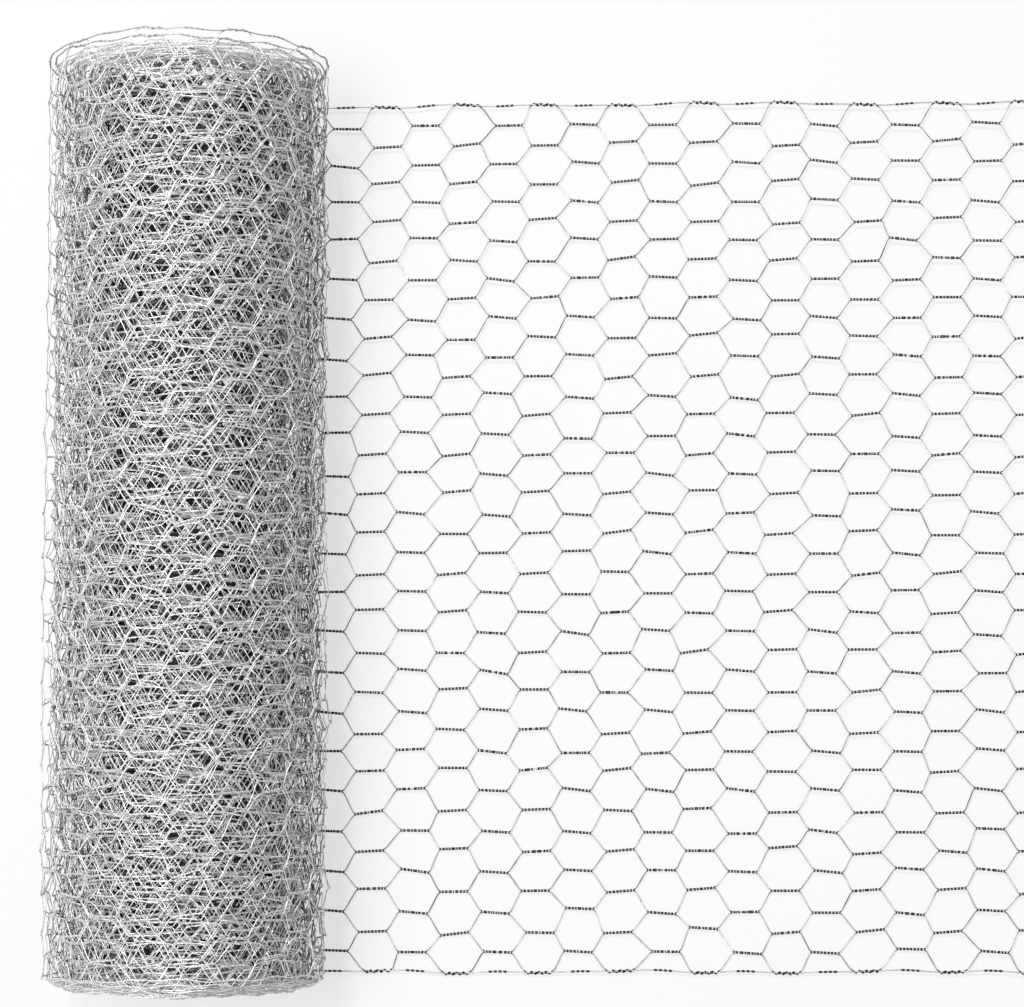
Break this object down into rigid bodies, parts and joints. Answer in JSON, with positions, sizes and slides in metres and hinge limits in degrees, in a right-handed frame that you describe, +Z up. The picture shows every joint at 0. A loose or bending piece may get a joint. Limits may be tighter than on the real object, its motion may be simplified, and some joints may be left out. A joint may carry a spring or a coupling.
{
  "type": "roll of hexagonal wire netting",
  "caption": "Roll of galvanised hexagonal wire netting lying on its side, hollow in the middle, with its loose end unrolled flat on the floor.",
  "frame": {"origin": "on the floor, under the middle of the box round the roll and its loose end", "axes": "+Z up; +X from the roll towards the cut end of the loose end; +Y along the roll's axis"},
  "size_m": [0.7046, 0.6, 0.185],
  "materials": {
    "galvanised_wire": "satin"
  },
  "bodies": {
    "root": {"wound_roll": "galvanised_wire", "loose_end_inner": "galvanised_wire", "loose_end_outer": "galvanised_wire"}
  },
  "joints": []
}
